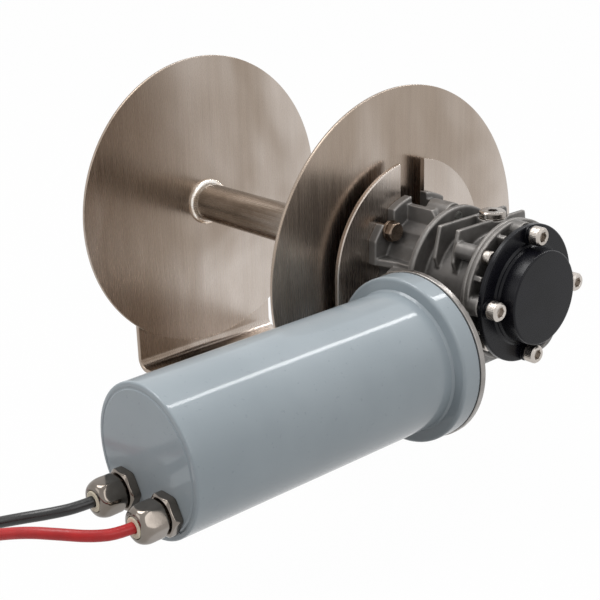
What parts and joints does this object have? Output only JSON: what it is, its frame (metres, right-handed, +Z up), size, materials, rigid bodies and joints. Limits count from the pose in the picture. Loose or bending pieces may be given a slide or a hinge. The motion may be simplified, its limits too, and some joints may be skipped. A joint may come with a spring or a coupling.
{
  "type": "anchor winch",
  "caption": "Electric drum anchor winch: rope drum on a bent stainless deck bracket, turned by a worm gearbox and a cylindrical motor with two leads.",
  "frame": {"origin": "centre of the four deck bolt holes, on the bracket's underside", "axes": "+X along the drum axis from the far disc to the gearbox, -Y along the motor from the gearbox, +Z up from the deck"},
  "size_m": [0.315, 0.4109, 0.211],
  "materials": {
    "brushed_stainless": "brushed stainless sheet and tube",
    "weld_metal": "bright TIG weld",
    "ground_steel": "ground steel",
    "key_steel": "drawn key steel",
    "stainless_fasteners": "stainless fasteners",
    "zinc_screws": "zinc plated screws",
    "bronze": "cast bronze",
    "hub_iron": "machined cast iron",
    "bearing_steel": "polished bearing steel",
    "cast_aluminium": "blasted die-cast aluminium, dark",
    "machined_aluminium": "turned aluminium",
    "black_satin": "black satin moulding",
    "plated_plug": "plated steel plug",
    "seal_rubber": "black nitrile rubber",
    "grey_enamel": "gloss light blue-grey enamel",
    "laminated_steel": "stacked steel laminations",
    "copper": "copper",
    "ferrite": "grey ferrite",
    "holder_plastic": "brown phenolic moulding",
    "carbon": "carbon brush",
    "spring_steel": "spring strip",
    "nickel_plate": "nickel plated brass",
    "gland_rubber": "cream rubber seal",
    "black_insulation": "black cable jacket",
    "red_insulation": "red cable jacket",
    "tinned_copper": "tinned copper lug",
    "black_sleeving": "black shrink sleeve",
    "red_sleeving": "red shrink sleeve"
  },
  "bodies": {
    "winch_frame": {"bracket": "brushed_stainless", "bearing_bolts": "stainless_fasteners", "mounting_bolts": "stainless_fasteners", "output_cover_screws": "stainless_fasteners", "side_cover_screws": "stainless_fasteners", "mounting_flange_screws": "zinc_screws", "input_flange_screws": "zinc_screws", "motor_flange_screws": "zinc_screws", "bearing_bush": "bronze", "output_bearing_outer_rings": "bearing_steel", "worm_bearing_outer_rings": "bearing_steel", "motor_bearing_outer_rings": "bearing_steel", "gearbox_housing": "cast_aluminium", "gearbox_side_cover": "cast_aluminium", "mounting_flange": "cast_aluminium", "bearing_housing": "cast_aluminium", "input_flange": "machined_aluminium", "output_cover": "black_satin", "oil_plug": "plated_plug", "oil_seals": "seal_rubber", "worm_end_cap": "seal_rubber", "motor_flange": "grey_enamel", "motor_body": "grey_enamel", "motor_rear_cap": "grey_enamel", "field_magnets": "ferrite", "brush_holder": "holder_plastic", "brushes": "carbon", "brush_springs": "spring_steel", "gland_bodies": "nickel_plate", "gland_dome_nuts": "nickel_plate", "gland_seals": "gland_rubber", "black_lead": "black_insulation", "red_lead": "red_insulation", "black_lead_terminal": "tinned_copper", "red_lead_terminal": "tinned_copper", "black_lead_sleeve": "black_sleeving", "red_lead_sleeve": "red_sleeving"},
    "drum": {"far_drum_disc": "brushed_stainless", "near_drum_disc": "brushed_stainless", "drum_tube": "brushed_stainless", "weld_beads": "weld_metal", "drum_shaft": "ground_steel", "shaft_key": "key_steel", "shaft_end_washers": "stainless_fasteners", "shaft_end_bolts": "stainless_fasteners", "worm_wheel_rim": "bronze", "output_hub": "hub_iron", "output_bearing_inner_rings": "bearing_steel"},
    "motor_rotor": {"worm_shaft": "ground_steel", "worm_bearing_inner_rings": "bearing_steel", "coupling_key": "key_steel", "armature_shaft": "ground_steel", "armature_core": "laminated_steel", "armature_windings": "copper", "commutator": "copper", "motor_bearing_inner_rings": "bearing_steel"}
  },
  "joints": [
    {"name": "drum_spin", "type": "hinge", "parent": "winch_frame", "child": "drum", "pos_m": [0, 0, 0.112], "axis": [1, 0, 0], "continuous": true},
    {"name": "worm_spin", "type": "hinge", "parent": "winch_frame", "child": "motor_rotor", "pos_m": [0.1501, 0, 0.082], "axis": [0, 1, 0], "continuous": true}
  ],
  "couplings": [
    {"joint": "worm_spin", "follows": "drum_spin", "ratio": -30}
  ]
}
